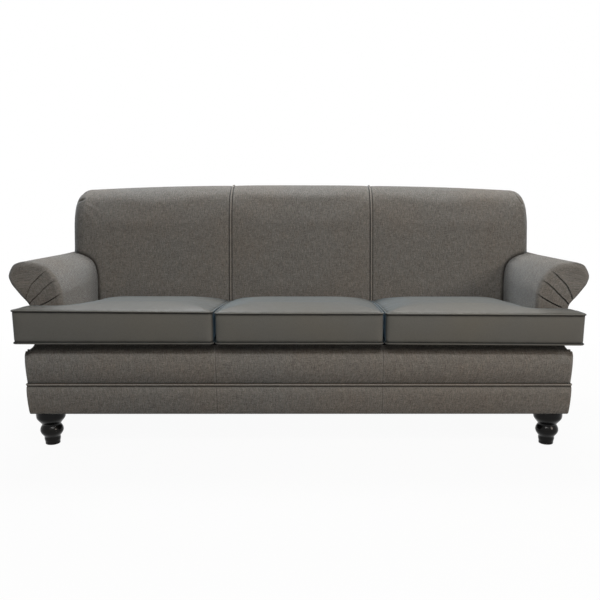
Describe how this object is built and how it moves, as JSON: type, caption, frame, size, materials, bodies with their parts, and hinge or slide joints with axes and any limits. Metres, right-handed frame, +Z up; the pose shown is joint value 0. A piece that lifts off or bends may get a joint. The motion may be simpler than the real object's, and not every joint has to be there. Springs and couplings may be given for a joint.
{
  "type": "english roll arm sofa",
  "caption": "Three-seat sofa with low set-back roll arms pleated at the front, a tight welted back, loose boxed seat cushions, a banded base and short turned legs.",
  "frame": {"origin": "on the floor, under the middle of the sofa's bounding box", "axes": "+X to the viewer's right when looking at the front, along the length; the front faces -Y; +Z up"},
  "size_m": [2.016, 0.8636, 0.9215],
  "materials": {
    "tweed_cover": "brown-grey tweed weave, matt",
    "cushion_cover": "smooth dark grey cover with a soft sheen",
    "leg_lacquer": "black gloss lacquer",
    "frame_wood": "sawn hardwood, unfinished",
    "spring_steel": "oil-tempered spring wire",
    "deck_cloth": "dark decking cloth over padding",
    "jute_webbing": "woven jute",
    "dust_cloth": "black non-woven dust cloth",
    "glide_nylon": "moulded nylon"
  },
  "bodies": {
    "sofa_body": {"front_rail": "frame_wood", "rear_rail": "frame_wood", "seat_back_rail": "frame_wood", "back_top_rail": "frame_wood", "side_rail_left": "frame_wood", "side_rail_right": "frame_wood", "seat_stretcher_left": "frame_wood", "seat_stretcher_right": "frame_wood", "arm_tack_rail_left": "frame_wood", "arm_tack_rail_right": "frame_wood", "corner_block_front_left": "frame_wood", "corner_block_front_right": "frame_wood", "corner_block_rear_left": "frame_wood", "corner_block_rear_right": "frame_wood", "back_end_rib_left": "frame_wood", "back_end_rib_right": "frame_wood", "back_seam_rib_left": "frame_wood", "back_seam_rib_right": "frame_wood", "arm_board_left": "frame_wood", "arm_board_right": "frame_wood", "arm_stump_left": "frame_wood", "arm_stump_right": "frame_wood", "leg_front_left": "leg_lacquer", "leg_front_right": "leg_lacquer", "leg_rear_left": "leg_lacquer", "leg_rear_right": "leg_lacquer", "glide_front_left": "glide_nylon", "glide_front_right": "glide_nylon", "glide_rear_left": "glide_nylon", "glide_rear_right": "glide_nylon", "back_webbing_1": "jute_webbing", "back_webbing_2": "jute_webbing", "back_webbing_3": "jute_webbing", "back_webbing_4": "jute_webbing", "seat_springs_centre": "spring_steel", "seat_springs_left": "spring_steel", "seat_springs_right": "spring_steel", "inside_back_centre": "tweed_cover", "outside_back": "tweed_cover", "front_border": "tweed_cover", "front_band": "tweed_cover", "base_welt": "tweed_cover", "inside_back_left": "tweed_cover", "inside_back_right": "tweed_cover", "back_welt_left": "tweed_cover", "back_welt_right": "tweed_cover", "arm_left": "tweed_cover", "arm_right": "tweed_cover", "outside_arm_left": "tweed_cover", "outside_arm_right": "tweed_cover", "side_band_left": "tweed_cover", "side_band_right": "tweed_cover", "seat_deck": "deck_cloth", "dust_cover": "dust_cloth"},
    "seat_cushion_left": {"seat_cushion_left": "cushion_cover"},
    "seat_cushion_centre": {"seat_cushion_centre": "cushion_cover"},
    "seat_cushion_right": {"seat_cushion_right": "cushion_cover"}
  },
  "joints": [
    {"name": "cushion_left_lift", "type": "slide", "parent": "sofa_body", "child": "seat_cushion_left", "axis": [0, 0, 1], "range_m": [0, 0.6]},
    {"name": "cushion_centre_lift", "type": "slide", "parent": "sofa_body", "child": "seat_cushion_centre", "axis": [0, 0, 1], "range_m": [0, 0.6]},
    {"name": "cushion_right_lift", "type": "slide", "parent": "sofa_body", "child": "seat_cushion_right", "axis": [0, 0, 1], "range_m": [0, 0.6]}
  ]
}
